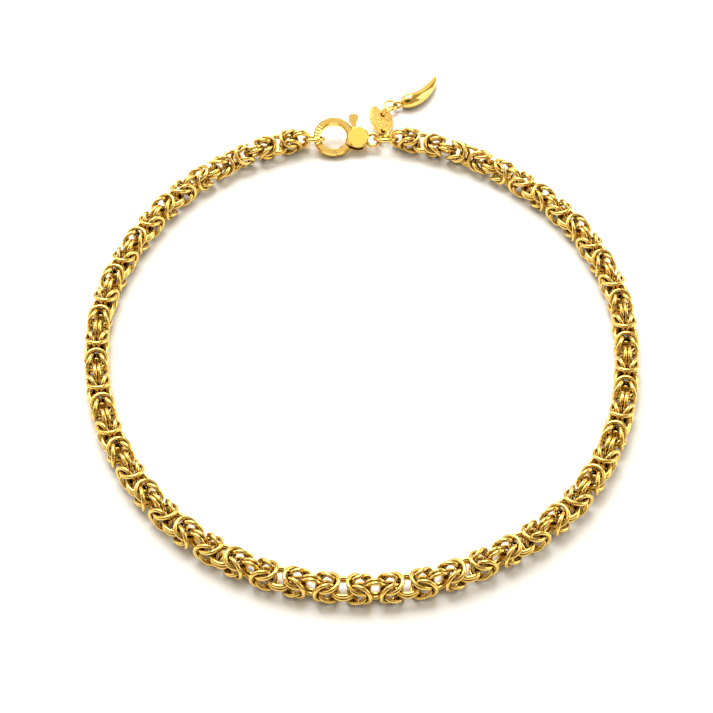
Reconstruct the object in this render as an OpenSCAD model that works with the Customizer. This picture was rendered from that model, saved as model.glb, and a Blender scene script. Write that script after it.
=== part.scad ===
// Byzantine chain necklace laid out in a loop, with a round lever clasp, two jump
// rings, a heart tag and a horn charm. Millimetres, +Z up, lying on the plane Z = 0.
// The chain's own weave is drawn as one tube of its outer thickness; the pair of
// links at each end, which the jump rings pass through, is real.

/* [Chain] */
// Width of the loop as it lies, along the chain's centre line
loop_w = 136; // [120:1:150]
// Length of the loop from the clasp to the far side
loop_l = 148; // [135:1:165]
// Thickness of the woven chain
chain_d = 6.5; // [6:0.1:6.8]
// Wire thickness of one chain link
link_wire = 1.0; // [0.8:0.05:1.1]
// Outer diameter of one chain link
link_od = 6.2; // [5.8:0.05:6.6]
// Clear space between the two links of an end pair
link_gap = 0.1; // [0.1:0.05:0.4]

/* [Clasp] */
// Outer diameter of the clasp's ring
clasp_od = 11.7; // [11:0.1:13]
// Width of the clasp ring's metal, inside to outside
clasp_rim = 2.05; // [1.8:0.05:2.3]
// Thickness of the clasp's ring
clasp_t = 2.3; // [2:0.1:2.6]
// Bevel along the edges of the ring and of the body
clasp_bevel = 0.35; // [0.2:0.05:0.5]
// Tilt of the clasp as it lies, rear side up, in degrees
clasp_tilt = 26; // [20:1:32]
// Radius of the clasp's body around the hinge pin
body_r = 3.15; // [3:0.05:3.6]
// Thickness of the body over both cheeks
body_t = 3.4; // [3.2:0.1:4]
// Width of the slot between the cheeks
slot_w = 1.4; // [1.2:0.1:1.5]
// Hinge pin diameter
pin_d = 1.0; // [0.8:0.05:1.1]
// Radial clearance of the lever on its pin
pin_play = 0.1; // [0.05:0.01:0.15]
// Side clearance of the lever in its slot
lever_play = 0.15; // [0.1:0.05:0.2]
// Gap at the seam where the gate meets the hook
seam = 0.12; // [0.1:0.02:0.3]
// Width of the thumb piece
nub_w = 2.85; // [2.4:0.05:3.2]
// Height of the thumb piece
nub_h = 3.7; // [3.2:0.1:4.2]
// Hole of the eye on the clasp's body
eye_hole = 2.7; // [2.6:0.1:3.2]
// Wire of the eye
eye_wire = 0.95; // [0.8:0.05:1.2]

/* [Jump rings] */
// Outer diameter of the jump ring at the eye
ring_r_od = 7.7; // [7.6:0.1:8.2]
// Wire of the jump ring at the eye
ring_r_wire = 1.1; // [0.9:0.05:1.15]
// Outer diameter of the jump ring in the clasp's ring
ring_l_od = 7.0; // [6.9:0.1:7.4]
// Wire of the jump ring in the clasp's ring
ring_l_wire = 1.0; // [0.8:0.05:1.0]

/* [Heart tag] */
// Width of the heart tag
tag_w = 7.8; // [7:0.1:9]
// Length of the heart tag
tag_l = 9.8; // [9.4:0.1:11]
// Thickness of the heart tag
tag_t = 0.9; // [0.7:0.1:1.1]
// Diameter of the tag's two holes
tag_hole = 1.3; // [1.2:0.05:1.4]
// Metal between a hole and the tag's edge
tag_rim = 0.65; // [0.5:0.05:0.9]
// Outer diameter of the link between the tag and the jump ring
tag_link_od = 4.7; // [4.6:0.1:5]
// Wire of that link
tag_link_wire = 0.7; // [0.6:0.05:0.75]

/* [Horn charm] */
// Outer diameter of the ring in the heart's notch
tag_ring_od = 5.9; // [5.7:0.1:6.4]
// Wire of the two charm rings
charm_wire = 0.8; // [0.6:0.05:0.85]
// Outer diameter of the ring at the horn
charm_ring_od = 4.5; // [4.3:0.1:5.2]
// Length of the horn
horn_l = 15.8; // [13:0.1:18]
// Greatest thickness of the horn
horn_d = 4.5; // [4:0.1:5]
// Outer diameter of the horn's eye
horn_eye_od = 2.9; // [2.7:0.05:3.2]
// Wire of the horn's eye
horn_eye_wire = 0.7; // [0.5:0.05:0.75]

/* [Hidden] */

gold = [0.86, 0.68, 0.28];

function ry(p, t) = [p.x * cos(t) + p.z * sin(t), p.y, -p.x * sin(t) + p.z * cos(t)];
function rx(p, t) = [p.x, p.y * cos(t) - p.z * sin(t), p.y * sin(t) + p.z * cos(t)];
function rz(p, t) = [p.x * cos(t) - p.y * sin(t), p.x * sin(t) + p.y * cos(t), p.z];
function unit(v) = v / norm(v);

// A smooth curve through a list of points, at step u
function knot(p, i) = i < 0 ? 2 * p[0] - p[1]
    : i >= len(p) ? 2 * p[len(p) - 1] - p[len(p) - 2] : p[i];
function curve(p, u) =
    let (i = min(floor(u), len(p) - 2), t = u - i,
         a = knot(p, i - 1), b = knot(p, i), c = knot(p, i + 1), d = knot(p, i + 2))
    0.5 * (2 * b + (c - a) * t + (2 * a - 5 * b + 4 * c - d) * t * t
           + (3 * b - a - 3 * c + d) * t * t * t);

// Chain links
link_r = (link_od - link_wire) / 2;
link_in = link_od / 2 - link_wire;
pair_off = (link_wire + link_gap) / 2;

// How each loose ring hangs in the next: the play left on the side it is pulled to
pull = 0.1;
// How far a link pair's inner side sits from the end of its jump ring
sit_r = 0.87;
sit_l = 0.56;
// Axis of the two jump rings, which lean with their rear side down
ring_n = unit([0, 0.57, 0.82]);

// Left side: link pair, then jump ring, then the clasp's ring
pair_l = [-17.64, 60.94, 3.7];
pair_l_n = unit([-0.187, 0.982, -0.032]);
ring_l_r = (ring_l_od - ring_l_wire) / 2;
ring_l_in = ring_l_od / 2 - ring_l_wire;
ring_l = [pair_l.x + link_in - ring_l_wire / 2 - sit_l + ring_l_r, 61.5, 3.54];
sect_r = norm([clasp_rim, clasp_t]) / 2;
clasp_r = clasp_od / 2;
clasp_in = clasp_r - clasp_rim;
clasp = [ring_l.x + ring_l_in - sect_r - pull + clasp_r - clasp_rim / 2, 62,
         clasp_r * sin(clasp_tilt) + clasp_t / 2 * cos(clasp_tilt)];

// Clasp, in its own plane: u to the right, v up the slope, w out of its face
pivot = [clasp_r + 1.15, -0.4];
lobe_r = body_r + 0.65;
root_r = lobe_r + 0.15;
gate_r = norm([0.42 - pivot.x, -(clasp_r + clasp_in) / 2 - pivot.y]);
boss_r = slot_w + 0.15;
arm_w = 1.0;
// Metal left on the ring's outer side where the slot runs past it
skin = 0.05;
nub = [5.7, clasp_r - 0.65];
nub_dir = atan2(nub.y - pivot.y, nub.x - pivot.x);
web_dir = 218;
lever_t = slot_w - 2 * lever_play;
eye_r = (eye_hole + eye_wire) / 2;
eye = [pivot.x + body_r + eye_hole / 2 - 0.15, -0.75];
eye_at = clasp + rx([eye.x, eye.y, 0], clasp_tilt);

// Right side: eye, then jump ring, then link pair
ring_r_r = (ring_r_od - ring_r_wire) / 2;
ring_r = [eye_at.x + eye_hole / 2 - ring_r_wire / 2 - 2.5 * pull + ring_r_r, 61.9, 3.2];
pair_r = [ring_r.x + ring_r_r - ring_r_wire / 2 - sit_r + link_in, 61.52, 3.5];
pair_r_n = unit([-0.208, -0.977, 0.048]);

// Centre line of the chain as it lies, from one link pair round to the other: places as
// shares of the loop's width and length, and how far each lies above the flat part
loop_shape = [[0.2353, -0.0574, 0.3], [0.3787, -0.1723, 0], [0.4596, -0.2939, 0],
              [0.5, -0.4493, 0], [0.4779, -0.6486, 0], [0.4007, -0.8074, 0],
              [0.2831, -0.9155, 0], [0.114, -0.9899, 0], [-0.0588, -1, 0],
              [-0.2206, -0.9527, 0], [-0.3603, -0.848, 0], [-0.4596, -0.6926, 0],
              [-0.5, -0.5068, 0], [-0.4743, -0.3378, 0], [-0.386, -0.1723, 0],
              [-0.261, -0.0608, 0.4]];
chain_z = chain_d / 2 + 0.05;
route = concat([[pair_r.x - 0.31, 62, chain_z + 0.3]],
               [for (p = loop_shape) [p.x * loop_w, 62 + p.y * loop_l, chain_z + p.z]],
               [[pair_l.x + 0.26, 61.5, chain_z + 0.3]]);
// Where the tube starts and stops, counted in steps of the route: clear of the link pairs
route_end = len(route) - 1;
tube_from = 0.71 * link_od / norm(route[1] - route[0]);
tube_to = route_end - 0.63 * link_od / norm(route[route_end] - route[route_end - 1]);
tube_rings = 35;
tube_sides = 12;

// Heart tag: it lies on its right edge with the left edge and the notch raised
tag_yaw = 6;
tag_pitch = 14;
tag_roll = 30;
tag_shape = [[0, 0.29], [0.1, 0.36], [0.3, 0.415], [0.5, 0.425], [0.72, 0.38], [0.9, 0.27],
             [0.99, 0.11], [0.99, -0.05], [0.9, -0.19], [0.72, -0.32], [0.48, -0.44],
             [0.22, -0.54], [0, -0.575]];
tag_step = 0.25;
tag_side = [for (u = [0 : tag_step : len(tag_shape) - 1]) let (p = curve(tag_shape, u))
            [max(p.x, 0) * tag_w / 2, p.y * tag_l]];
tag_outline = concat(tag_side, [for (i = [len(tag_side) - 2 : -1 : 1])
                                [-tag_side[i].x, tag_side[i].y]]);
function tag_turn(p) = rz(rx(ry(p, tag_roll), tag_pitch), tag_yaw);
tag_drop = max([for (p = tag_outline) -tag_turn([p.x, p.y, -tag_t / 2]).z]);
hole_top = [0.4, 0.29 * tag_l - tag_rim - tag_hole / 2];
hole_low = [-0.3, -0.575 * tag_l + 1.2 * tag_rim + tag_hole / 2];

// The tag's link hangs on the low rear side of the jump ring, which sets the tag's place
tag_link_r = (tag_link_od - tag_link_wire) / 2;
tag_link_n = unit([-0.657, -0.075, 0.75]);
tag_link_c = [ring_r.x - 0.28 * ring_r_r, ring_r.y + 0.78 * ring_r_r + 0.1 * tag_link_r,
              tag_link_r * sqrt(1 - pow(tag_link_n.z, 2)) + tag_link_wire / 2 + 0.03];
low_at = tag_link_c + (tag_link_r - 0.13) * unit([-0.21, 1.86, 0]);
tag_xy = low_at - tag_turn([hole_low.x, hole_low.y, 0]);
tag_c = [tag_xy.x, tag_xy.y, tag_drop + 0.03];

// Ring in the heart's notch, ring at the horn, and the horn
tag_ring_r = (tag_ring_od - charm_wire) / 2;
tag_ring_n = unit([0.613, -0.442, -0.654]);
top_at = tag_c + tag_turn([hole_top.x, hole_top.y, 0]);
tag_ring_xy = top_at + (tag_ring_r + 0.06) * unit([1.22, 2.28, -0.38]);
tag_ring_c = [tag_ring_xy.x, tag_ring_xy.y,
              tag_ring_r * sqrt(1 - pow(tag_ring_n.z, 2)) + charm_wire / 2 + 0.03];
charm_r = (charm_ring_od - charm_wire) / 2;
charm_c = tag_ring_c + [0.54 * tag_ring_r, tag_ring_r + charm_r - charm_wire - 0.48, -0.28];
horn_eye_r = (horn_eye_od - horn_eye_wire) / 2;
horn_eye_c = [charm_c.x + charm_r + horn_eye_r - horn_eye_wire / 2 - charm_wire / 2 - pull,
              charm_c.y + 0.1, charm_c.z];
horn_dir = 46.8;
// Horn sections: place along its length, place to the side, height and radius
horn_shape = [[0, 0, 0, 0.12], [0.012, -0.014, 0, 0.5], [0.035, -0.04, 0, 0.76],
              [0.07, -0.075, 0, 0.93], [0.135, -0.116, 0, 1], [0.214, -0.146, -0.005, 0.985],
              [0.291, -0.164, -0.015, 0.94], [0.377, -0.17, -0.025, 0.885],
              [0.465, -0.167, -0.035, 0.83], [0.562, -0.153, -0.045, 0.765],
              [0.65, -0.136, -0.055, 0.695], [0.728, -0.116, -0.06, 0.62],
              [0.8, -0.093, -0.065, 0.54], [0.87, -0.066, -0.065, 0.445],
              [0.92, -0.044, -0.06, 0.365], [0.96, -0.024, -0.055, 0.275],
              [0.985, -0.01, -0.05, 0.185], [1, 0, -0.045, 0.07]];
horn_sides = 16;
horn_at = [horn_eye_c.x + 0.19 * horn_d, horn_eye_c.y + horn_eye_r + 0.055 * horn_d, horn_d / 2];
horn_pts = [for (s = horn_shape)
            horn_at + rz([s[0] * horn_l, s[1] * horn_l, s[2] * horn_d], horn_dir)];

// A round wire ring at c, its axis along n
module wire_ring(c, n, r, wire) {
    translate(c)
        rotate([0, acos(n.z / norm(n)), atan2(n.y, n.x)])
            rotate_extrude($fn = 72)
                translate([r, 0])
                    circle(d = wire, $fn = 32);
}

// A tube through points, with a radius for each
module swept(pts, rad, sides) {
    last = len(pts) - 1;
    ring = [for (i = [0 : last])
        let (d = unit(pts[min(i + 1, last)] - pts[max(i - 1, 0)]),
             x = unit(cross(d, [0, 0, 1])), y = cross(x, d))
        for (k = [0 : sides - 1])
            let (a = 360 * (k + 0.5) / sides)
            pts[i] + rad[i] * (cos(a) * x + sin(a) * y)];
    side = [for (i = [0 : last - 1], k = [0 : sides - 1])
        let (a = i * sides + k, b = i * sides + (k + 1) % sides)
        for (f = [[a, b, b + sides], [a, b + sides, a + sides]]) f];
    polyhedron(points = ring,
               faces = concat([[for (k = [sides - 1 : -1 : 0]) k]], side,
                              [[for (k = [0 : sides - 1]) last * sides + k]]));
}

// The ring's bevelled section, turned through an angle
module rim_sector(from, to, half) {
    b = clasp_bevel;
    rotate([0, 0, from])
        rotate_extrude(angle = to - from, $fn = 96)
            polygon([[clasp_in + b, -half], [clasp_r - b, -half], [clasp_r, -half + b],
                     [clasp_r, half - b], [clasp_r - b, half], [clasp_in + b, half],
                     [clasp_in, half - b], [clasp_in, -half + b]]);
}

module at_clasp() {
    translate(clasp)
        rotate([clasp_tilt, 0, 0])
            children();
}

module round_at(p, r, h) {
    translate([p.x, p.y, -h / 2])
        cylinder(r = r, h = h, $fn = 96);
}

// A wedge of the clasp's plane seen from the pin
module wedge(from, to, h) {
    far = 3 * clasp_r;
    translate([pivot.x, pivot.y, -h / 2])
        linear_extrude(height = h)
            polygon([[0, 0], far * [cos(from), sin(from)],
                     far * [cos((from + to) / 2), sin((from + to) / 2)],
                     far * [cos(to), sin(to)]]);
}

// Outline of the body over its full thickness: round at the pin, with a lobe along the
// ring and a shoulder up to the hook
module body_blank() {
    h = body_t / 2;
    b = clasp_bevel * 0.75;
    translate([pivot.x, pivot.y, 0])
        rotate_extrude($fn = 96)
            polygon([[0, -h], [body_r - b, -h], [body_r, -h + b], [body_r, h - b],
                     [body_r - b, h], [0, h]]);
    intersection() {
        rim_sector(-34, 30, h);
        round_at(pivot, lobe_r, 2 * body_t);
    }
    shoulder = [[clasp_in * 0.9, clasp_in * 0.55], [clasp_r * 0.72, clasp_r * 0.7],
                [pivot.x + body_r * 0.9, pivot.y + body_r * 0.62], pivot];
    difference() {
        translate([0, 0, -h])
            linear_extrude(height = body_t)
                polygon(shoulder);
        round_at([0, 0], clasp_in, 2 * body_t);
        for (s = [0, 1])
            mirror([0, 0, s])
                translate([0, 1.75, h])
                    rotate([-32, 0, 0])
                        cube([3 * clasp_r, 2 * clasp_r, body_t]);
    }
}

module clasp_body() {
    color(gold)
        at_clasp() {
            difference() {
                union() {
                    difference() {
                        rim_sector(20, 300, clasp_t / 2);
                        intersection() {
                            round_at(pivot, gate_r + seam / 2, 2 * clasp_t);
                            translate([-clasp_r, -2 * clasp_r, -clasp_t])
                                cube([3 * clasp_r, 2 * clasp_r - clasp_in * 0.5, 2 * clasp_t]);
                        }
                    }
                    body_blank();
                }
                difference() {
                    round_at(pivot, 3 * clasp_r / 2, slot_w);
                    wedge(124, 172, 2 * slot_w);
                    wedge(-60, 52, 2 * slot_w);
                    round_at([0, 0], clasp_r + skin, 2 * slot_w);
                }
                intersection() {
                    round_at([0, 0], clasp_r + 2 * skin, slot_w);
                    union() {
                        wedge(172, 235, 2 * slot_w);
                        wedge(-130, -60, 2 * slot_w);
                    }
                    round_at(pivot, root_r + 0.1, 2 * slot_w);
                }
                round_at(pivot, boss_r + 0.2, slot_w);
                round_at(pivot, pin_d / 2 + 0.05, body_t - 0.9);
            }
            translate([eye.x, eye.y, 0])
                rotate_extrude($fn = 72)
                    translate([eye_r, 0])
                        circle(d = eye_wire, $fn = 32);
        }
}

module clasp_lever() {
    color(gold)
        at_clasp() {
            difference() {
                intersection() {
                    rim_sector(250, 330, clasp_t / 2);
                    round_at(pivot, gate_r - seam / 2, 2 * clasp_t);
                }
                round_at(pivot, root_r, 2 * clasp_t);
            }
            difference() {
                union() {
                    round_at(pivot, boss_r, lever_t);
                    translate([pivot.x, pivot.y, 0])
                        rotate([0, 0, web_dir])
                            translate([0, -arm_w / 2, -lever_t / 2])
                                cube([root_r + 0.6, arm_w, lever_t]);
                    translate([pivot.x, pivot.y, 0])
                        rotate([0, 0, nub_dir])
                            translate([0, -arm_w / 2, -lever_t / 2])
                                cube([norm(nub - pivot), arm_w, lever_t]);
                }
                round_at(pivot, pin_d / 2 + pin_play, 2 * slot_w);
            }
            translate([nub.x, nub.y, -lever_t / 2])
                linear_extrude(height = lever_t)
                    polygon([for (s = [[0.05, -0.5], [0.3, -0.2], [0.47, 0.1], [0.5, 0.28],
                                       [0.4, 0.44], [0.2, 0.5], [-0.2, 0.5], [-0.42, 0.42],
                                       [-0.5, 0.22], [-0.47, 0], [-0.28, -0.24], [-0.05, -0.5]])
                             [s.x * nub_w, s.y * nub_h]]);
        }
}

module clasp_pin() {
    color(gold)
        at_clasp()
            round_at(pivot, pin_d / 2, body_t - 1);
}

module chain() {
    us = [for (i = [0 : tube_rings - 1])
          tube_from + (tube_to - tube_from) * i / (tube_rings - 1)];
    color(gold)
        swept([for (u = us) curve(route, u)],
              [for (u = us) chain_d / 2 / cos(180 / tube_sides)], tube_sides);
}

module end_links(c, n) {
    color(gold)
        for (s = [-1, 1])
            wire_ring(c + s * pair_off * n, n, link_r, link_wire);
}

module heart_tag() {
    color(gold)
        translate(tag_c)
            rotate([0, 0, tag_yaw])
                rotate([tag_pitch, 0, 0])
                    rotate([0, tag_roll, 0])
                        difference() {
                            translate([0, 0, -tag_t / 2])
                                linear_extrude(height = tag_t)
                                    polygon(tag_outline);
                            round_at(hole_top, tag_hole / 2, 2 * tag_t);
                            round_at(hole_low, tag_hole / 2, 2 * tag_t);
                        }
}

module horn_charm() {
    color(gold) {
        swept(horn_pts, [for (s = horn_shape) s[3] * horn_d / 2], horn_sides);
        wire_ring(horn_eye_c, [0, 1, 0], horn_eye_r, horn_eye_wire);
    }
}

chain();
end_links(pair_r, pair_r_n);  // end_links_right
end_links(pair_l, pair_l_n);  // end_links_left
jump_ring(ring_r, ring_r_r, ring_r_wire);  // jump_ring_right
jump_ring(ring_l, ring_l_r, ring_l_wire);  // jump_ring_left
clasp_body();
clasp_lever();
clasp_pin();
heart_tag();
tag_link();
tag_ring();
charm_ring();
horn_charm();

module jump_ring(c, r, wire) {
    color(gold)
        wire_ring(c, ring_n, r, wire);
}

module tag_link() {
    color(gold)
        wire_ring(tag_link_c, tag_link_n, tag_link_r, tag_link_wire);
}

module tag_ring() {
    color(gold)
        wire_ring(tag_ring_c, tag_ring_n, tag_ring_r, charm_wire);
}

module charm_ring() {
    color(gold)
        wire_ring(charm_c, [0, -0.1, 1], charm_r, charm_wire);
}
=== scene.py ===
"""Gold byzantine chain necklace lying on a pale floor.

The woven chain is made here link by link along the same centre line as the solid tube that
stands for it in the CAD model. The clasp, the loose rings, the heart tag and the horn charm
keep the CAD model's shapes or follow them closely, and get their finishes.
All lengths are in metres, in the CAD model's frame.
"""

import logging
import math
from dataclasses import dataclass
from enum import Enum

import bmesh
import bpy
from mathutils import Matrix, Vector


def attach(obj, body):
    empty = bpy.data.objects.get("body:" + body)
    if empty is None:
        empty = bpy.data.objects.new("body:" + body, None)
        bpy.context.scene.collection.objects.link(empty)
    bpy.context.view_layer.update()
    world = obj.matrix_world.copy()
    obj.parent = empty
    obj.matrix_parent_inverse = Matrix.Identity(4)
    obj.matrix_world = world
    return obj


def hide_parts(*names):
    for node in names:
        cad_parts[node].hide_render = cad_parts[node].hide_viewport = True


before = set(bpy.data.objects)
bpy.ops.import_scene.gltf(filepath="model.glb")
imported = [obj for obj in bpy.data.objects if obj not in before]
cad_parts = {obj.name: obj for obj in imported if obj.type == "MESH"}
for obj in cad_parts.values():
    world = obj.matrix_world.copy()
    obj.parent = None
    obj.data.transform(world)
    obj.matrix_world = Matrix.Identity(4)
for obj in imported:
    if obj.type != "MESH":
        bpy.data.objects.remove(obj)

LOG = logging.getLogger("necklace")
MM = 0.001


class Body(Enum):
    """The moving bodies of the CAD model."""

    NECKLACE = "necklace"
    LEVER = "lever"


class Slot(Enum):
    """The record's material slots."""

    POLISHED = "polished_gold"
    TEXTURED = "textured_gold"


class Strand(Enum):
    """The three kinds of link in the weave."""

    CONNECTOR = "connector_links"
    FLANK = "flank_links"
    CROWN = "crown_links"


def linear(code: str) -> tuple[float, float, float, float]:
    """Turn an sRGB hex colour into linear values.

    Args:
        code: Six hex digits.

    Returns:
        Red, green, blue and alpha.
    """
    parts = [int(code[i:i + 2], 16) / 255 for i in (0, 2, 4)]
    r, g, b = (c / 12.92 if c <= 0.04045 else ((c + 0.055) / 1.055) ** 2.4 for c in parts)
    return r, g, b, 1.0


def add_node(tree: bpy.types.NodeTree, kind: str, inputs: dict[str | int, object] | None = None,
             **settings: object) -> bpy.types.Node:
    """Add a node to a tree, with its settings, values and links.

    Args:
        tree: The tree that gets the node.
        kind: The node's type.
        inputs: For an input's name or number, its value or the socket that feeds it.
        settings: The node's own settings.

    Returns:
        The new node.
    """
    node = tree.nodes.new(kind)
    for name, value in settings.items():
        setattr(node, name, value)
    for key, value in (inputs or {}).items():
        if isinstance(value, bpy.types.NodeSocket):
            tree.links.new(value, node.inputs[key])
        else:
            node.inputs[key].default_value = value
    return node


def smooth_line(knots: list[Vector], steps: int) -> list[Vector]:
    """Draw a smooth line through points, straight on at both ends.

    Args:
        knots: The points.
        steps: Steps from each point to the next.

    Returns:
        The line's points, the given ones among them.
    """
    held = [2 * knots[0] - knots[1], *knots, 2 * knots[-1] - knots[-2]]
    line = []
    for a, b, c, d in zip(held, held[1:], held[2:], held[3:]):
        for t in (i / steps for i in range(steps)):
            line.append(0.5 * (2 * b + (c - a) * t + (2 * a - 5 * b + 4 * c - d) * t ** 2
                               + (3 * b - a - 3 * c + d) * t ** 3))
    line.append(knots[-1])
    return line


@dataclass(frozen=True)
class PolishedGold:
    """Yellow gold, drawn, tumbled and buffed: a mirror with faint marks from wear.

    The eye sees pale yellow lights and clear yellow metal. Shade is painted into the colour as
    a dark brown between the wires, where other surfaces stand close.
    """

    name: str = "buffed_yellow_gold"
    tone: str = "FAD87C"
    worn_tone: str = "F1C665"
    # dark brown painted into the colour as shade between the wires
    painted_shade_tone: str = "2C1603"
    roughness: float = 0.06
    worn_roughness: float = 0.13
    matt_tone: str = "EABB58"
    matt_roughness: float = 0.42
    # size of the patches that handling has dulled, and of the hairline marks
    patch_mm: float = 3.0
    patch_detail: float = 3.0
    mark_mm: float = 0.25
    mark_detail: float = 4.0
    mark_breakup: float = 0.65
    mark_squeeze: float = 0.25
    # patches times marks: where the metal is at its brightest and at its most worn
    wear_low: float = 0.12
    wear_high: float = 0.45
    relief_mm: float = 0.003
    relief_strength: float = 0.6
    # how far apart two walls may stand for painted shade to darken the colour between them
    painted_shade_reach_mm: float = 2.0
    painted_shade_rays: int = 8
    painted_shade_closed: float = 0.15
    painted_shade_open: float = 0.85

    def material(self) -> bpy.types.Material:
        """Build the material.

        Returns:
            The finished material.
        """
        mat = bpy.data.materials.new(self.name)
        mat.use_nodes = True
        tree = mat.node_tree
        tree.nodes.clear()
        spot = add_node(tree, "ShaderNodeTexCoord").outputs["Object"]
        # soft patches a few millimetres wide where handling has dulled the shine
        patch = add_node(tree, "ShaderNodeTexNoise",
                         {"Vector": spot, "Scale": 1 / (self.patch_mm * MM),
                          "Detail": self.patch_detail})
        # hairline marks, drawn out along one direction and coarse enough to show
        drawn = add_node(tree, "ShaderNodeMapping",
                         {"Vector": spot, "Scale": (1.0, self.mark_squeeze, 1.0)})
        marks = add_node(tree, "ShaderNodeTexNoise",
                         {"Vector": drawn.outputs[0], "Scale": 1 / (self.mark_mm * MM),
                          "Detail": self.mark_detail, "Roughness": self.mark_breakup})
        height, matt = self.relief(tree, spot, marks.outputs["Fac"])
        tint = add_node(tree, "ShaderNodeMix",
                        {0: patch.outputs["Fac"], 6: linear(self.tone),
                         7: linear(self.worn_tone)}, data_type="RGBA").outputs[2]
        both = add_node(tree, "ShaderNodeMath",
                        {0: patch.outputs["Fac"], 1: marks.outputs["Fac"]},
                        operation="MULTIPLY")
        rough = add_node(tree, "ShaderNodeMapRange",
                         {"Value": both.outputs[0], "From Min": self.wear_low,
                          "From Max": self.wear_high, "To Min": self.roughness,
                          "To Max": self.worn_roughness}).outputs[0]
        if matt is not None:
            tint = add_node(tree, "ShaderNodeMix",
                            {0: matt, 6: tint, 7: linear(self.matt_tone)},
                            data_type="RGBA").outputs[2]
            rough = add_node(tree, "ShaderNodeMix",
                             {0: matt, 2: rough, 3: self.matt_roughness}).outputs[0]
        # painted shade: the colour turns dark brown where other surfaces stand close, in place
        # of the shade between the wires
        room = add_node(tree, "ShaderNodeAmbientOcclusion",
                        {"Distance": self.painted_shade_reach_mm * MM}, samples=self.painted_shade_rays)
        unshaded_share = add_node(tree, "ShaderNodeMapRange",
                        {"Value": room.outputs["AO"], "From Min": self.painted_shade_closed,
                         "From Max": self.painted_shade_open})
        shaded_tint = add_node(tree, "ShaderNodeMix",
                          {0: unshaded_share.outputs[0], 6: linear(self.painted_shade_tone), 7: tint},
                          data_type="RGBA")
        bump = add_node(tree, "ShaderNodeBump",
                        {"Strength": self.relief_strength,
                         "Distance": self.relief_mm * MM, "Height": height})
        shader = add_node(tree, "ShaderNodeBsdfPrincipled",
                          {"Base Color": shaded_tint.outputs[2], "Metallic": 1.0,
                           "Roughness": rough, "Normal": bump.outputs[0]})
        add_node(tree, "ShaderNodeOutputMaterial", {"Surface": shader.outputs[0]})
        return mat

    def relief(self, tree: bpy.types.NodeTree, spot: bpy.types.NodeSocket,
               marks: bpy.types.NodeSocket
               ) -> tuple[bpy.types.NodeSocket, bpy.types.NodeSocket | None]:
        """What stands proud of the surface, and where it is matt.

        Args:
            tree: The material's tree.
            spot: The place on the object.
            marks: The hairline marks.

        Returns:
            The height, and how matt the surface is, from 0 to 1, or None where it is bright.
        """
        return marks, None


@dataclass(frozen=True)
class ClaspGold(PolishedGold):
    """Cast and buffed gold with a brushed face on the body and cut strokes on the ring."""

    name: str = "cast_yellow_gold"
    relief_mm: float = 0.05
    # reach of the painted shade on the clasp
    painted_shade_reach_mm: float = 1.2
    centre_mm: tuple[float, float, float] = (-7.9155, 62.0, 3.598)
    tilt: float = math.radians(26)
    # strokes in a full turn, the middle of the stretch that has them, and the cosine of the
    # angle from there at which they end and the width over which they fade in
    strokes: int = 34
    stroke_heading: float = math.radians(158)
    stroke_spread: float = 0.35
    stroke_fade: float = 0.15
    mark_share: float = 0.06
    ring_inside_mm: float = 4.1
    ring_outside_mm: float = 5.5
    pin_mm: tuple[float, float] = (7.0, -0.4)
    face_radius_mm: float = 2.85
    face_height_mm: float = 1.62

    def relief(self, tree: bpy.types.NodeTree, spot: bpy.types.NodeSocket,
               marks: bpy.types.NodeSocket
               ) -> tuple[bpy.types.NodeSocket, bpy.types.NodeSocket | None]:
        """Strokes across the ring's far end, and the brushed face over the pin.

        Args:
            tree: The material's tree.
            spot: The place on the object.
            marks: The hairline marks.

        Returns:
            The height and how matt the surface is.
        """
        def sums(operation: str, a: float | bpy.types.NodeSocket,
                 b: float | bpy.types.NodeSocket = 0.0) -> bpy.types.NodeSocket:
            """Join two numbers with one operation."""
            return add_node(tree, "ShaderNodeMath", {0: a, 1: b},
                            operation=operation).outputs[0]

        # places in the clasp's own plane, in millimetres
        own = add_node(tree, "ShaderNodeMapping",
                       {"Vector": spot, "Location": [c * MM for c in self.centre_mm],
                        "Rotation": (self.tilt, 0, 0), "Scale": (MM, MM, MM)},
                       vector_type="TEXTURE")
        part = add_node(tree, "ShaderNodeSeparateXYZ", {0: own.outputs[0]}).outputs
        flat = add_node(tree, "ShaderNodeCombineXYZ", {0: part[0], 1: part[1]})
        away = add_node(tree, "ShaderNodeVectorMath", {0: flat.outputs[0]},
                        operation="LENGTH").outputs["Value"]
        turn = sums("ARCTAN2", part[1], part[0])
        stroke = sums("SINE", sums("MULTIPLY", turn, float(self.strokes)))
        stroke = sums("MAXIMUM", stroke, 0.0)
        near = sums("COSINE", sums("SUBTRACT", turn, self.stroke_heading))
        here = add_node(tree, "ShaderNodeMapRange",
                        {"Value": near, "From Min": self.stroke_spread,
                         "From Max": self.stroke_spread + self.stroke_fade}).outputs[0]
        for edge, side in ((self.ring_inside_mm, "GREATER_THAN"),
                           (self.ring_outside_mm, "LESS_THAN")):
            here = sums("MULTIPLY", here, sums(side, away, edge))
        cut = sums("MULTIPLY", stroke, here)
        height = sums("SUBTRACT", sums("MULTIPLY", marks, self.mark_share), cut)
        to_pin = add_node(tree, "ShaderNodeVectorMath",
                          {0: flat.outputs[0], 1: (*self.pin_mm, 0)}, operation="DISTANCE")
        matt = sums("MULTIPLY", sums("LESS_THAN", to_pin.outputs["Value"], self.face_radius_mm),
                    sums("GREATER_THAN", part[2], self.face_height_mm))
        return height, matt


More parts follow.
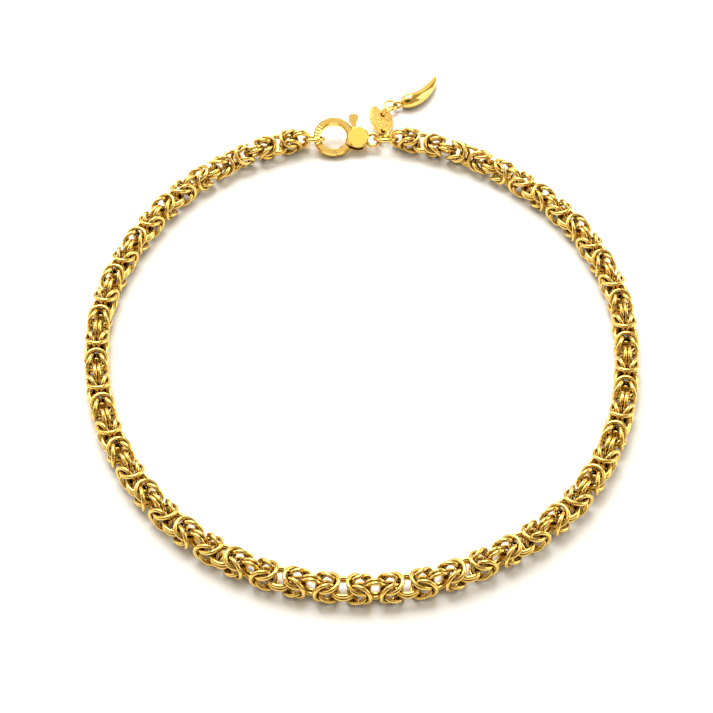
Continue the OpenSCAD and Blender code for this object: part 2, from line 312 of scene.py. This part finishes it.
@dataclass(frozen=True)
class StippledGold(PolishedGold):
    """Gold sheet whose face is stippled with a fine punch, so that it glows all over."""

    name: str = "stippled_yellow_gold"
    relief_mm: float = 0.4
    dot_mm: float = 0.62
    dot_scatter: float = 0.7
    matt_tone: str = "FAD272"
    matt_roughness: float = 0.3
    # marks at which the face is least and fully matt, and how matt it is at the least
    matt_from: float = 0.2
    matt_to: float = 0.5
    matt_least: float = 0.7

    def relief(self, tree: bpy.types.NodeTree, spot: bpy.types.NodeSocket,
               marks: bpy.types.NodeSocket
               ) -> tuple[bpy.types.NodeSocket, bpy.types.NodeSocket | None]:
        """Punched dots, coarser than the real ones so that they show.

        Args:
            tree: The material's tree.
            spot: The place on the object.
            marks: The hairline marks.

        Returns:
            The height and how matt the surface is.
        """
        dots = add_node(tree, "ShaderNodeTexVoronoi",
                        {"Vector": spot, "Scale": 1 / (self.dot_mm * MM),
                         "Randomness": self.dot_scatter})
        matt = add_node(tree, "ShaderNodeMapRange",
                        {"Value": marks, "From Min": self.matt_from,
                         "From Max": self.matt_to, "To Min": self.matt_least})
        return dots.outputs["Distance"], matt.outputs[0]


@dataclass(frozen=True)
class PaleBoard:
    """Matt white board: the plain floor under the necklace."""

    name: str = "pale_board"
    tone: str = "FAFAF8"
    roughness: float = 0.9
    specular: float = 0.2

    def material(self) -> bpy.types.Material:
        """Build the material.

        Returns:
            The finished material.
        """
        mat = bpy.data.materials.new(self.name)
        mat.use_nodes = True
        shader = mat.node_tree.nodes["Principled BSDF"]
        shader.inputs["Base Color"].default_value = linear(self.tone)
        shader.inputs["Roughness"].default_value = self.roughness
        shader.inputs["Specular IOR Level"].default_value = self.specular
        return mat


@dataclass(frozen=True)
class RingPlace:
    """Where one round link lies."""

    centre: Vector
    axis: Vector
    along: Vector


class LinkMaker:
    """The Geometry Nodes tree that puts a round wire link at each point of a mesh."""

    INPUTS = (("Link radius", "NodeSocketFloat"), ("Wire radius", "NodeSocketFloat"),
              ("Link sides", "NodeSocketInt"), ("Wire sides", "NodeSocketInt"),
              ("Finish", "NodeSocketMaterial"))

    def __init__(self) -> None:
        """Build the tree."""
        tree = bpy.data.node_groups.new("wire_links", "GeometryNodeTree")
        face = tree.interface
        face.new_socket("Places", in_out="INPUT", socket_type="NodeSocketGeometry")
        for name, kind in self.INPUTS:
            face.new_socket(name, in_out="INPUT", socket_type=kind)
        face.new_socket("Links", in_out="OUTPUT", socket_type="NodeSocketGeometry")
        given = add_node(tree, "NodeGroupInput").outputs
        circle = add_node(tree, "GeometryNodeCurvePrimitiveCircle",
                          {"Resolution": given["Link sides"], "Radius": given["Link radius"]})
        wire = add_node(tree, "GeometryNodeCurvePrimitiveCircle",
                        {"Resolution": given["Wire sides"], "Radius": given["Wire radius"]})
        link = add_node(tree, "GeometryNodeCurveToMesh",
                        {"Curve": circle.outputs["Curve"],
                         "Profile Curve": wire.outputs["Curve"]})
        smooth = add_node(tree, "GeometryNodeSetShadeSmooth", {"Geometry": link.outputs[0]})
        axis = add_node(tree, "GeometryNodeInputNamedAttribute", {"Name": "axis"},
                        data_type="FLOAT_VECTOR")
        along = add_node(tree, "GeometryNodeInputNamedAttribute", {"Name": "along"},
                         data_type="FLOAT_VECTOR")
        upright = add_node(tree, "FunctionNodeAlignRotationToVector",
                           {"Vector": axis.outputs["Attribute"]}, axis="Z")
        turned = add_node(tree, "FunctionNodeAlignRotationToVector",
                          {"Rotation": upright.outputs[0],
                           "Vector": along.outputs["Attribute"]}, axis="X", pivot_axis="Z")
        placed = add_node(tree, "GeometryNodeInstanceOnPoints",
                          {"Points": given["Places"], "Instance": smooth.outputs[0],
                           "Rotation": turned.outputs[0]})
        real = add_node(tree, "GeometryNodeRealizeInstances", {"Geometry": placed.outputs[0]})
        dressed = add_node(tree, "GeometryNodeSetMaterial",
                           {"Geometry": real.outputs[0], "Material": given["Finish"]})
        add_node(tree, "NodeGroupOutput", {"Links": dressed.outputs[0]})
        self.tree = tree

    def make(self, name: str, places: list[RingPlace], link_radius: float,
             wire_radius: float, finish: bpy.types.Material, link_sides: int = 40,
             wire_sides: int = 12) -> bpy.types.Object:
        """Make one mesh of links.

        Args:
            name: The new object's name.
            places: Where the links lie.
            link_radius: Radius of a link's centre line.
            wire_radius: Radius of its wire.
            finish: The material.
            link_sides: Steps around a link.
            wire_sides: Steps around its wire.

        Returns:
            A plain mesh object at the origin.
        """
        points = bpy.data.meshes.new(name + "_places")
        points.from_pydata([p.centre for p in places], [], [])
        for key in ("axis", "along"):
            data = points.attributes.new(key, "FLOAT_VECTOR", "POINT").data
            data.foreach_set("vector", [c for p in places for c in getattr(p, key)])
        maker = bpy.data.objects.new(name + "_maker", points)
        bpy.context.scene.collection.objects.link(maker)
        modifier = maker.modifiers.new("links", "NODES")
        modifier.node_group = self.tree
        values = (link_radius, wire_radius, link_sides, wire_sides, finish)
        sockets = {s.name: s.identifier for s in self.tree.interface.items_tree}
        for (key, _), value in zip(self.INPUTS, values):
            modifier[sockets[key]] = value
        graph = bpy.context.evaluated_depsgraph_get()
        mesh = bpy.data.meshes.new_from_object(maker.evaluated_get(graph))
        mesh.name = name
        bpy.data.objects.remove(maker)
        turn_outward(mesh)
        made = bpy.data.objects.new(name, mesh)
        bpy.context.scene.collection.objects.link(made)
        return made


def turn_outward(mesh: bpy.types.Mesh) -> None:
    """Flip a closed mesh whose faces point inwards.

    Args:
        mesh: The mesh, changed in place.
    """
    mesh.calc_loop_triangles()
    at = mesh.vertices
    volume = sum(at[a].co.dot(at[b].co.cross(at[c].co)) for a, b, c in
                 (t.vertices for t in mesh.loop_triangles))
    if volume < 0:
        mesh.flip_normals()


def dress(node: str, finish: bpy.types.Material) -> None:
    """Give a CAD node its finish.

    Args:
        node: The node's name.
        finish: The material.
    """
    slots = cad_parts[node].data.materials
    if not slots:
        slots.append(finish)
    for i in range(len(slots)):
        slots[i] = finish
    LOG.info("dressed %s in %s", node, finish.name)


def settle(piece: bpy.types.Object, body: Body, slot: Slot, *nodes: str) -> None:
    """Attach a finished piece to the body that it moves with, and hide the CAD nodes that it
    stands for.

    Args:
        piece: The finished piece.
        body: The body that it moves with.
        slot: The record's slot of its finish; not used.
        nodes: The CAD nodes that it replaces.
    """
    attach(piece, body.value)
    if nodes:
        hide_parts(*nodes)
    LOG.info("%s: %d faces, on %s", piece.name, len(piece.data.polygons), body.value)


@dataclass
class ByzantineChain:
    """The woven chain: pairs of connector links, each side of which two pairs of links are
    folded back, flat along the flanks and upright along the crown, turn about."""

    # centre line of the chain from the clasp's right side round to its left
    route: tuple = ((0.01095, 0.062, 0.0036), (0.032, 0.0535, 0.0036), (0.0515, 0.0365, 0.0033),
                    (0.0625, 0.0185, 0.0033), (0.068, -0.0045, 0.0033),
                    (0.065, -0.034, 0.0033), (0.0545, -0.0575, 0.0033),
                    (0.0385, -0.0735, 0.0033), (0.0155, -0.0845, 0.0033),
                    (-0.008, -0.086, 0.0033), (-0.03, -0.079, 0.0033),
                    (-0.049, -0.0635, 0.0033), (-0.0625, -0.0405, 0.0033),
                    (-0.068, -0.013, 0.0033), (-0.0645, 0.012, 0.0033),
                    (-0.0525, 0.0365, 0.0033), (-0.0355, 0.053, 0.0037),
                    (-0.01738, 0.0615, 0.0036))
    route_steps: int = 24
    # how far before and behind a place the line's direction there is read
    sight: float = 2 * MM
    knots: int = 58
    link_radius: float = 2.62 * MM
    wire_radius: float = 0.5 * MM
    # half the distance between the two connectors of a pair
    pair_half: float = 0.515 * MM
    # how far a folded pair lies from its connector, in knots, and from the centre line
    fold_reach: float = 0.521
    fold_side: float = 1.54 * MM
    fold_angle: float = math.radians(23.3)
    # raises the weave so that its lowest links touch the surface
    lift: float = 0.07 * MM
    # how far the weave is rolled about its line, in degrees, at numbered connectors
    rolls: tuple = ((0, -88), (1, -69), (2, -53), (3, -37), (4, -25), (5, -11), (6, 0), (30, 8),
                    (45, 5), (50, 0), (51, -3), (52, -8), (53, -17), (54, -30), (55, -46),
                    (56, -60), (57, -67), (58, -83))

    def __post_init__(self) -> None:
        """Measure the centre line."""
        self.line = smooth_line([Vector(p) for p in self.route], self.route_steps)
        self.arc = [0.0]
        for a, b in zip(self.line, self.line[1:]):
            self.arc.append(self.arc[-1] + (b - a).length)
        self.pitch = self.arc[-1] / self.knots

    def spot(self, s: float) -> Vector:
        """The centre line's point at a distance along it.

        Args:
            s: Distance from the start.

        Returns:
            The point.
        """
        if s <= 0:
            return self.line[0] + (self.line[1] - self.line[0]).normalized() * s
        for i in range(1, len(self.arc)):
            if s <= self.arc[i]:
                share = (s - self.arc[i - 1]) / (self.arc[i] - self.arc[i - 1])
                return self.line[i - 1].lerp(self.line[i], share)
        over = s - self.arc[-1]
        return self.line[-1] + (self.line[-1] - self.line[-2]).normalized() * over

    def roll(self, knot: float) -> float:
        """How far the weave is rolled at a place.

        Args:
            knot: The place, counted in connectors.

        Returns:
            The angle in radians.
        """
        for (a, x), (b, y) in zip(self.rolls, self.rolls[1:]):
            if knot <= b:
                share = max(0.0, (knot - a) / (b - a))
                return math.radians(x + (y - x) * share)
        return math.radians(self.rolls[-1][1])

    def axes(self, s: float) -> tuple[Vector, Vector, Vector, Vector]:
        """The weave's own axes at a distance along the centre line.

        Args:
            s: Distance from the start.

        Returns:
            The point, then the directions along, to the side and up, rolled.
        """
        ahead = self.spot(s + self.sight) - self.spot(s - self.sight)
        ahead.z = 0
        ahead.normalize()
        up = Vector((0, 0, 1))
        side = up.cross(ahead)
        r = self.roll(s / self.pitch)
        return (self.spot(s) + up * self.lift, ahead, math.cos(r) * side + math.sin(r) * up,
                math.cos(r) * up - math.sin(r) * side)

    def connectors(self) -> list[RingPlace]:
        """Places of the connector links, without the end pairs, which are CAD nodes.

        Returns:
            Two links for each connector.
        """
        places = []
        for k in range(1, self.knots):
            at, ahead, side, up = self.axes(k * self.pitch)
            axis = side if k % 2 else up
            places += [RingPlace(at + sign * self.pair_half * axis, axis, ahead)
                       for sign in (1, -1)]
        return places

    def folded(self, strand: Strand) -> list[RingPlace]:
        """Places of the links that are folded back along the flanks or the crown.

        Args:
            strand: Which of the two.

        Returns:
            Two links for each knot.
        """
        places = []
        for k in range(self.knots):
            flat = k % 2 == 0
            lead = 1 if flat else -1
            if strand is Strand.FLANK:
                base, way = (k if flat else k + 1), lead
            else:
                base, way = (k + 1 if flat else k), -lead
            at, ahead, side, up = self.axes((base + way * self.fold_reach) * self.pitch)
            out, hinge = (side, up) if strand is Strand.FLANK else (up, side)
            for sign in (1, -1):
                lean = (way * math.cos(self.fold_angle) * ahead
                        + sign * math.sin(self.fold_angle) * out)
                places.append(RingPlace(at + sign * self.fold_side * out,
                                        lean.cross(hinge), lean))
        return places

    def build(self, maker: LinkMaker, finish: bpy.types.Material) -> None:
        """Make the chain's three kinds of link, one mesh each.

        Args:
            maker: Makes the links.
            finish: Their material.
        """
        for strand in Strand:
            places = (self.connectors() if strand is Strand.CONNECTOR
                      else self.folded(strand))
            piece = maker.make(strand.value, places, self.link_radius, self.wire_radius,
                               finish)
            settle(piece, Body.NECKLACE, Slot.POLISHED, "chain")


@dataclass
class LooseHardware:
    """End links, jump rings, clasp and charm rings, which keep their CAD shapes."""

    bright: tuple = ("end_links_right", "end_links_left", "jump_ring_right", "jump_ring_left",
                     "tag_link", "tag_ring", "charm_ring")
    clasp: tuple = ("clasp_body", "clasp_lever", "clasp_pin")

    def build(self, wire_gold: bpy.types.Material, clasp_gold: bpy.types.Material) -> None:
        """Dress each node.

        Args:
            wire_gold: The finish of the wire rings.
            clasp_gold: The finish of the clasp.
        """
        for node in self.bright:
            dress(node, wire_gold)
        for node in self.clasp:
            dress(node, clasp_gold)


@dataclass
class HeartTag:
    """The flat heart tag, with its sheared edges eased as a tumbled blank's are."""

    eased: float = 0.14 * MM
    steps: int = 3
    # faces that meet at less than this are one flat face
    flat: float = math.radians(1)
    # edges sharper than this, beside a face at least this large, are the ones that are eased
    sharp: float = math.radians(50)
    face_area: float = 20 * MM * MM
    # edges sharper than this still show as edges afterwards
    crisp: float = math.radians(40)
    weld: float = 0.001 * MM

    def build(self, finish: bpy.types.Material) -> None:
        """Make the tag from its CAD node's shape.

        Args:
            finish: Its material.
        """
        mesh = bpy.data.meshes.new("heart_plate")
        work = bmesh.new()
        work.from_mesh(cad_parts["heart_tag"].data)
        bmesh.ops.remove_doubles(work, verts=work.verts, dist=self.weld)
        bmesh.ops.dissolve_limit(work, angle_limit=self.flat, verts=work.verts,
                                 edges=work.edges)
        rims = [e for e in work.edges if e.is_manifold and e.calc_face_angle() > self.sharp
                and max(f.calc_area() for f in e.link_faces) > self.face_area]
        bmesh.ops.bevel(work, geom=rims, offset=self.eased, segments=self.steps, profile=0.5,
                        affect="EDGES")
        bmesh.ops.triangulate(work, faces=[f for f in work.faces if len(f.verts) > 4])
        work.to_mesh(mesh)
        work.free()
        mesh.materials.clear()
        mesh.materials.append(finish)
        mesh.shade_smooth()
        mesh.set_sharp_from_angle(angle=self.crisp)
        tag = bpy.data.objects.new(mesh.name, mesh)
        bpy.context.scene.collection.objects.link(tag)
        settle(tag, Body.NECKLACE, Slot.TEXTURED, "heart_tag")


@dataclass
class HornCharm:
    """The curved, pointed horn with its soldered eye."""

    eye_at: tuple = (0.010857, 0.077722, 0.002078)
    eye_radius: float = 1.1 * MM
    eye_wire: float = 0.35 * MM
    eye_sides: int = 48
    eye_wire_sides: int = 16
    root: tuple = (0.011712, 0.07907, 0.00225)
    heading: float = math.radians(46.8)
    length: float = 15.8 * MM
    thick: float = 4.5 * MM
    # sections: place along the length, to the side and in height, and share of the radius
    sections: tuple = ((0, 0, 0, 0.02), (0.003, -0.004, 0, 0.25), (0.012, -0.014, 0, 0.5),
                       (0.035, -0.04, 0, 0.76), (0.07, -0.075, 0, 0.93), (0.135, -0.116, 0, 1),
                       (0.214, -0.146, -0.005, 0.985), (0.291, -0.164, -0.015, 0.94),
                       (0.377, -0.17, -0.025, 0.885), (0.465, -0.167, -0.035, 0.83),
                       (0.562, -0.153, -0.045, 0.765), (0.65, -0.136, -0.055, 0.695),
                       (0.728, -0.116, -0.06, 0.62), (0.8, -0.093, -0.065, 0.54),
                       (0.87, -0.066, -0.065, 0.445), (0.92, -0.044, -0.06, 0.365),
                       (0.96, -0.024, -0.055, 0.275), (0.985, -0.01, -0.05, 0.185),
                       (1, 0, -0.045, 0.07))
    sides: int = 48
    steps: int = 4

    def build(self, maker: LinkMaker, finish: bpy.types.Material) -> None:
        """Make the horn and its eye.

        Args:
            maker: Makes the eye.
            finish: Their material.
        """
        mesh = bpy.data.meshes.new("horn_body")
        mesh.from_pydata(*self.skin())
        mesh.shade_smooth()
        mesh.materials.append(finish)
        turn_outward(mesh)
        horn = bpy.data.objects.new(mesh.name, mesh)
        bpy.context.scene.collection.objects.link(horn)
        settle(horn, Body.NECKLACE, Slot.POLISHED, "horn_charm")
        place = RingPlace(Vector(self.eye_at), Vector((0, 1, 0)), Vector((1, 0, 0)))
        eye = maker.make("horn_eye", [place], self.eye_radius, self.eye_wire, finish,
                         self.eye_sides, self.eye_wire_sides)
        settle(eye, Body.NECKLACE, Slot.POLISHED, "horn_charm")

    def skin(self) -> tuple[list, list, list]:
        """Loft the horn through its sections.

        Returns:
            Points, no edges, and faces.
        """
        fine = smooth_line([Vector(row) for row in self.sections], self.steps)
        turned = Matrix.Rotation(self.heading, 3, "Z")
        line = [Vector(self.root) + turned @ Vector((r[0] * self.length, r[1] * self.length,
                                                     r[2] * self.thick)) for r in fine]
        points, n = [], self.sides
        for i, at in enumerate(line):
            ahead = (line[min(i + 1, len(line) - 1)] - line[max(i - 1, 0)]).normalized()
            x = ahead.cross(Vector((0, 0, 1))).normalized()
            y = x.cross(ahead)
            radius = fine[i][3] * self.thick / 2
            points += [at + radius * (math.cos(2 * math.pi * k / n) * x
                                      + math.sin(2 * math.pi * k / n) * y) for k in range(n)]
        faces = [(i * n + k, i * n + (k + 1) % n, (i + 1) * n + (k + 1) % n, (i + 1) * n + k)
                 for i in range(len(line) - 1) for k in range(n)]
        for row in (0, len(line) - 1):
            points.append(line[row])
            faces += [(len(points) - 1, row * n + k, row * n + (k + 1) % n)[::1 if row else -1]
                      for k in range(n)]
        return points, [], faces


@dataclass(frozen=True)
class Panel:
    """A square soft panel light that faces the necklace, its power in watts."""

    name: str
    at: tuple[float, float, float]
    size: float
    power: float


@dataclass
class Studio:
    """Pale floor, soft light all round and the camera at the photograph's angle."""

    floor_half: float = 3.0
    camera_at: tuple = (-0.0013, -0.2494, 0.2902)
    camera_tilt: float = math.radians(38.75)
    lens_mm: float = 72.9
    sensor_mm: float = 36.0
    panels: tuple[Panel, ...] = (Panel("key_panel", (-0.15, 0.58, 1.0), 0.8, 14.0),
                                 Panel("left_panel", (-0.8, 0.35, 0.55), 0.8, 2.6),
                                 Panel("top_panel", (0.0, -0.02, 1.1), 0.9, 1.1),
                                 Panel("back_panel", (0.15, 1.0, 0.38), 1.0, 1.9),
                                 Panel("side_panel", (0.9, 0.15, 0.35), 0.7, 3.0))
    sky: str = "FFF1D6"
    sky_strength: float = 0.5
    dim: str = "5C5448"
    # the dim part of the room behind the camera, which polished metal mirrors as dark lines
    dim_from: tuple = (0.0, -0.62, 0.78)
    dim_inner: float = 0.97
    dim_outer: float = 0.86

    def build(self) -> None:
        """Make floor, light and camera."""
        self.floor()
        self.room()
        for panel in self.panels:
            self.lamp(panel)
        self.camera()

    def floor(self) -> None:
        """Make the floor."""
        h = self.floor_half
        mesh = bpy.data.meshes.new("floor")
        mesh.from_pydata([(-h, -h, 0), (h, -h, 0), (h, h, 0), (-h, h, 0)], [], [(0, 1, 2, 3)])
        mesh.materials.append(PaleBoard().material())
        floor = bpy.data.objects.new("floor", mesh)
        bpy.context.scene.collection.objects.link(floor)

    def room(self) -> None:
        """Make the room's soft light, with its dim part."""
        world = bpy.data.worlds.new("studio")
        world.use_nodes = True
        tree = world.node_tree
        tree.nodes.clear()
        way = add_node(tree, "ShaderNodeTexCoord").outputs["Generated"]
        near = add_node(tree, "ShaderNodeVectorMath",
                        {0: way, 1: Vector(self.dim_from).normalized()},
                        operation="DOT_PRODUCT")
        share = add_node(tree, "ShaderNodeMapRange",
                         {"Value": near.outputs["Value"], "From Min": self.dim_outer,
                          "From Max": self.dim_inner}, interpolation_type="SMOOTHSTEP")
        tone = add_node(tree, "ShaderNodeMix",
                        {0: share.outputs[0], 6: linear(self.sky), 7: linear(self.dim)},
                        data_type="RGBA")
        light = add_node(tree, "ShaderNodeBackground",
                         {"Color": tone.outputs[2], "Strength": self.sky_strength})
        add_node(tree, "ShaderNodeOutputWorld", {"Surface": light.outputs[0]})
        bpy.context.scene.world = world
        bpy.context.scene.view_settings.view_transform = "Standard"

    def lamp(self, panel: Panel) -> None:
        """Hang one panel light.

        Args:
            panel: What it is and where it hangs.
        """
        data = bpy.data.lights.new(panel.name, "AREA")
        data.size, data.energy = panel.size, panel.power
        lamp = bpy.data.objects.new(panel.name, data)
        lamp.location = panel.at
        lamp.rotation_euler = (-Vector(panel.at)).to_track_quat("-Z", "Y").to_euler()
        bpy.context.scene.collection.objects.link(lamp)

    def camera(self) -> None:
        """Place the camera."""
        data = bpy.data.cameras.new("camera")
        data.lens, data.sensor_width = self.lens_mm, self.sensor_mm
        camera = bpy.data.objects.new("camera", data)
        camera.location = self.camera_at
        camera.rotation_euler = (self.camera_tilt, 0, 0)
        bpy.context.scene.collection.objects.link(camera)
        bpy.context.scene.camera = camera


def main() -> None:
    """Build the necklace and its setting."""
    logging.basicConfig(level=logging.INFO, format="%(name)s: %(message)s", force=True)
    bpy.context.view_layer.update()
    Studio().build()
    gold = PolishedGold().material()
    maker = LinkMaker()
    ByzantineChain().build(maker, gold)
    LooseHardware().build(gold, ClaspGold().material())
    HeartTag().build(StippledGold().material())
    HornCharm().build(maker, gold)


if __name__ == "__main__":
    main()
